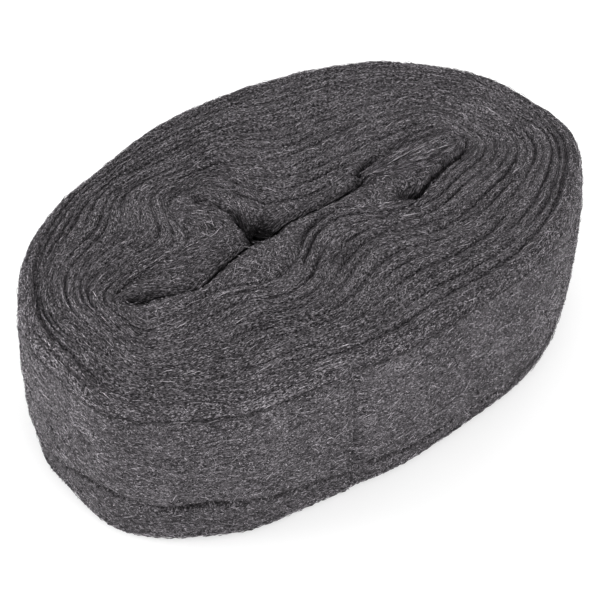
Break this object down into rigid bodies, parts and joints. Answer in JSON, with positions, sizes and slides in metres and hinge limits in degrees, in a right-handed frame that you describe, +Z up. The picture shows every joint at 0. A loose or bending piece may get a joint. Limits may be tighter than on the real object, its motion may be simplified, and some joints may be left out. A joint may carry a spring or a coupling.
{
  "type": "steel wool roll",
  "caption": "Flattened roll of coarse steel wool ribbon standing on its edge, wound as a spiral round a closed slit, with a buckled middle and a rounded rim.",
  "frame": {"origin": "under the middle of the roll's box, on the surface that it stands on", "axes": "+Z up, along the ribbon's width; +X along the long axis of the oval, away from the slit's open eye; +Y towards the buckled side"},
  "size_m": [0.3668, 0.247, 0.102],
  "materials": {
    "steel_wool": "dark grey matted steel fibre, dull with fine glints"
  },
  "bodies": {
    "root": {"steel_wool_roll": "steel_wool"}
  },
  "joints": []
}
